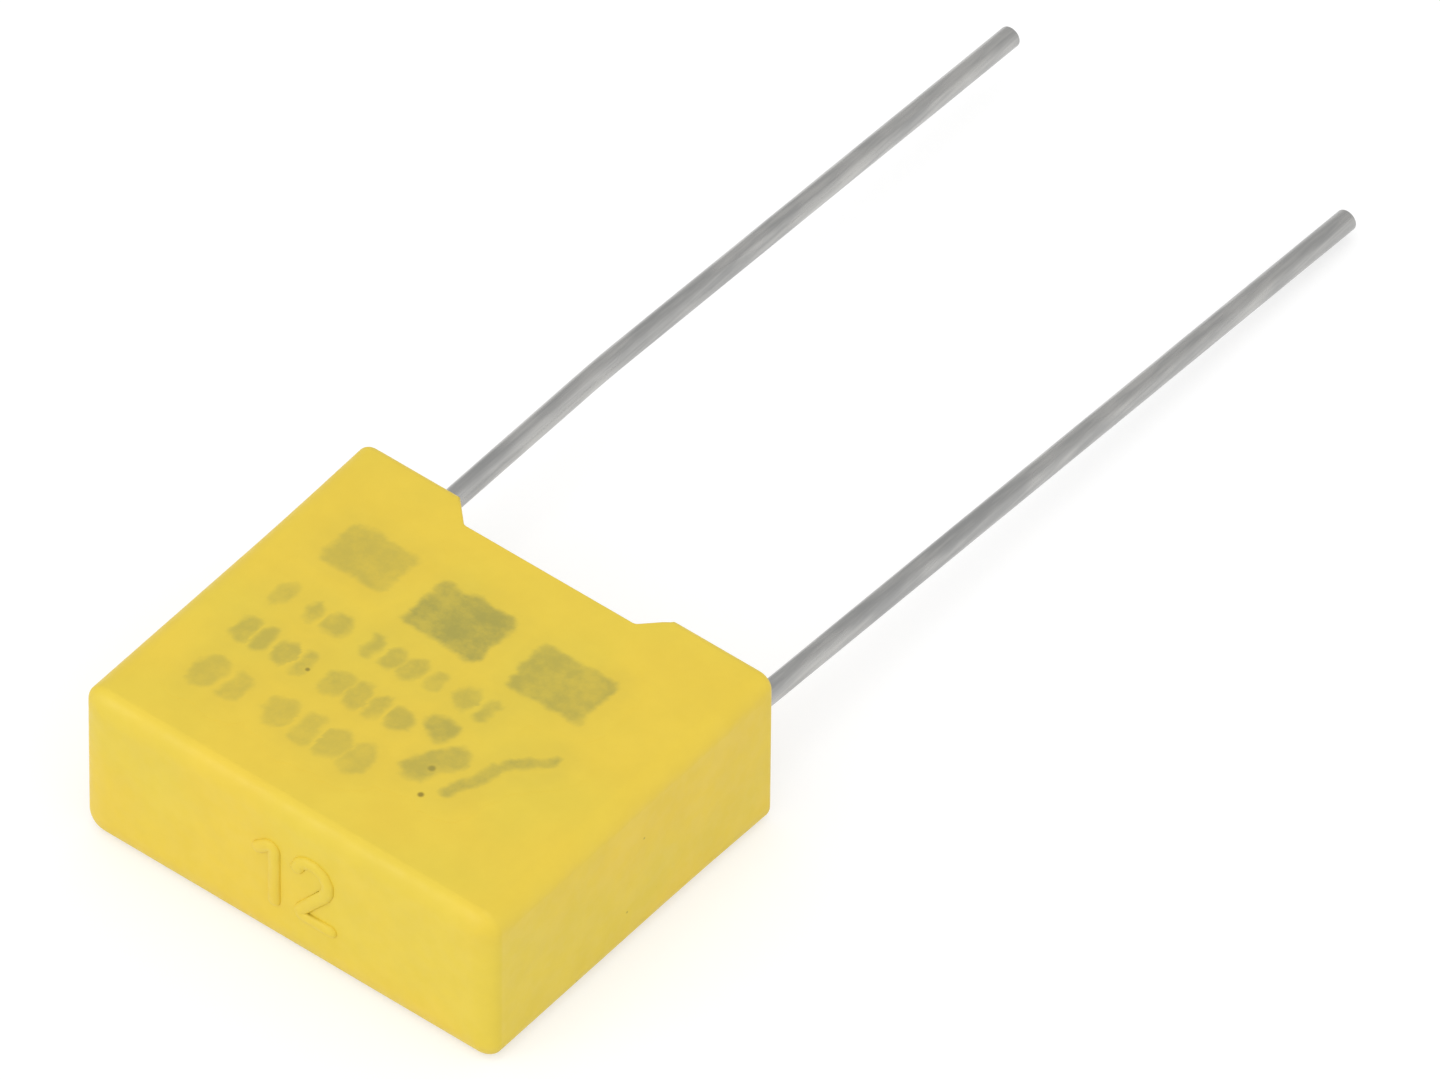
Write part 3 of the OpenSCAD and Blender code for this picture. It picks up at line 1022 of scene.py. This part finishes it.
class FILMCAP_OT_numerals(bpy.types.Operator):
    """Raise plain numerals on the closed end, as a mould's cavity number"""

    bl_idname = "film_capacitor.numerals"
    bl_label = "Raise Numerals"

    def round_end(self, before, end, reach):
        """Points past a stroke's end, whose shares of its width close it in a half round."""
        along = (end - before).normalized()
        turns = (math.radians(a) for a in ROUND_END)
        return [(*(end + along * reach * math.sin(a)), math.cos(a)) for a in turns]

    def execute(self, context):
        marks = context.scene.film_capacitor.marks
        tall = marks.numeral_height
        strokes = []
        for left, stroke in NUMERALS:
            places = [
                Vector((left * MM + x * tall, CASE_LOW.y, MID_HEIGHT + (y - 0.5) * tall)) for x, y in stroke
            ]
            tail = self.round_end(places[-2], places[-1], marks.stroke / 2)
            head = self.round_end(places[1], places[0], marks.stroke / 2)
            strokes.append(head[::-1] + [tuple(p) for p in places[1:-1]] + tail)
        values = {
            "Corner Radius": marks.corner,
            "Width": marks.stroke,
            "Height": marks.relief,
            "Material": bpy.data.materials["case_plastic_yellow"],
        }
        mesh = run_tree(numeral_tree(), poly_curve("numeral_strokes", strokes), values)
        add_piece("raised_numerals", mesh, "case_plastic")
        return {"FINISHED"}


def floor_material(stage):
    """Pale floor: near white to the eye, and it keeps the part's shadow."""
    material = bpy.data.materials.new("pale_floor")
    material.use_nodes = True
    material.node_tree.nodes.clear()
    t = Nodes(material.node_tree)
    plain, soft = (
        t.add("ShaderNodeBsdfDiffuse", {"Color": (grey, grey, grey, 1.0)})["BSDF"]
        for grey in (stage.floor_grey, stage.floor_seen)
    )
    glow = t.add("ShaderNodeEmission", {"Color": WHITE, "Strength": stage.floor_glow})
    seen = t.add("ShaderNodeAddShader", {0: soft, 1: glow["Emission"]})["Shader"]
    path = t.add("ShaderNodeLightPath")
    either = t.calc("MAXIMUM", path["Is Camera Ray"], path["Is Glossy Ray"])
    either = t.calc("MAXIMUM", either, path["Is Transmission Ray"])
    pick = t.add("ShaderNodeMixShader", {0: either, 1: plain, 2: seen})["Shader"]
    t.add("ShaderNodeOutputMaterial", {"Surface": pick})
    return material


class FILMCAP_OT_stage(bpy.types.Operator):
    """Set the pale floor, the soft light and the camera"""

    bl_idname = "film_capacitor.stage"
    bl_label = "Set Stage"

    def floor(self, scene, stage):
        """Level square under the part."""
        s = stage.floor_size
        mesh = bpy.data.meshes.new("floor")
        mesh.from_pydata([(-s, -s, 0.0), (s, -s, 0.0), (s, s, 0.0), (-s, s, 0.0)], [], [(0, 1, 2, 3)])
        mesh.materials.append(floor_material(stage))
        floor = bpy.data.objects.new("floor", mesh)
        scene.collection.objects.link(floor)

    def soft_light(self, stage):
        """Even light all round, a little brighter before the part than behind it."""
        world = bpy.data.worlds.new("even_light")
        world.use_nodes = True
        t = Nodes(world.node_tree)
        way = t.add("ShaderNodeTexCoord")["Generated"]
        before = t.vector("DOT_PRODUCT", way, BRIGHT_SIDE)["Value"]
        back = t.tree.nodes["Background"].inputs
        back["Color"].default_value = WHITE
        t.tree.links.new(t.ramp(before, *BRIGHTENS, stage.sky, stage.front_sky), back["Strength"])
        return world

    def area_light(self, scene, name, place, size, power):
        """Large soft light aimed at the part."""
        data = bpy.data.lights.new(name, "AREA")
        data.shape = "SQUARE"
        data.size = size
        data.energy = power
        lamp = bpy.data.objects.new(name, data)
        lamp.location = place
        lamp.rotation_euler = (-Vector(place)).to_track_quat("-Z", "Y").to_euler()
        scene.collection.objects.link(lamp)

    def camera(self, scene, stage):
        """Camera at its turn and height round the case's centre, aimed a little beside it."""
        turn = Matrix.Rotation(stage.azimuth, 3, "Z") @ Matrix.Rotation(math.pi / 2 - stage.elevation, 3, "X")
        turn = turn @ Matrix.Rotation(stage.roll, 3, "Z")
        place = Vector((0.0, 0.0, MID_HEIGHT))
        place += turn @ Vector((stage.aim_right, stage.aim_up, stage.distance))
        data = bpy.data.cameras.new("camera")
        data.sensor_width = SENSOR_WIDTH
        data.sensor_fit = "HORIZONTAL"
        data.lens = stage.focal_length
        data.clip_start = NEAREST_SEEN
        camera = bpy.data.objects.new("camera", data)
        camera.matrix_world = Matrix.Translation(place) @ turn.to_4x4()
        scene.collection.objects.link(camera)
        scene.camera = camera

    def execute(self, context):
        scene = context.scene
        stage = scene.film_capacitor.stage
        scene.view_settings.view_transform = "Standard"
        scene.world = self.soft_light(stage)
        self.floor(scene, stage)
        self.area_light(scene, "front_light", *FRONT_LIGHT, stage.front_light)
        self.area_light(scene, "top_light", *TOP_LIGHT, stage.top_light)
        self.camera(scene, stage)
        return {"FINISHED"}


OPERATORS = (
    FILMCAP_OT_case,
    FILMCAP_OT_leads,
    FILMCAP_OT_resin,
    FILMCAP_OT_roll,
    FILMCAP_OT_print,
    FILMCAP_OT_numerals,
    FILMCAP_OT_stage,
)


class FILMCAP_PT_panel(bpy.types.Panel):
    """Settings and steps of the film capacitor"""

    bl_idname = "FILMCAP_PT_panel"
    bl_label = "Film Capacitor"
    bl_space_type = "VIEW_3D"
    bl_region_type = "UI"
    bl_category = "Film Capacitor"

    def draw(self, context):
        settings = context.scene.film_capacitor
        for group in CapacitorSettings.__annotations__:
            box = self.layout.box()
            box.label(text=group.capitalize())
            owner = getattr(settings, group)
            for key in type(owner).__annotations__:
                box.prop(owner, key)
        for operator in OPERATORS:
            self.layout.operator(operator.bl_idname)


CLASSES = (
    CaseSettings,
    LeadSettings,
    ResinSettings,
    MarkSettings,
    StageSettings,
    CapacitorSettings,
    *OPERATORS,
    FILMCAP_PT_panel,
)


def register():
    for item in CLASSES:
        bpy.utils.register_class(item)
    bpy.types.Scene.film_capacitor = PointerProperty(type=CapacitorSettings)


def unregister():
    del bpy.types.Scene.film_capacitor
    for item in reversed(CLASSES):
        bpy.utils.unregister_class(item)


def main():
    register()
    bpy.ops.film_capacitor.case()
    bpy.ops.film_capacitor.leads()
    bpy.ops.film_capacitor.resin()
    bpy.ops.film_capacitor.roll()
    bpy.ops.film_capacitor.print()
    bpy.ops.film_capacitor.numerals()
    bpy.ops.film_capacitor.stage()


if __name__ == "__main__":
    main()
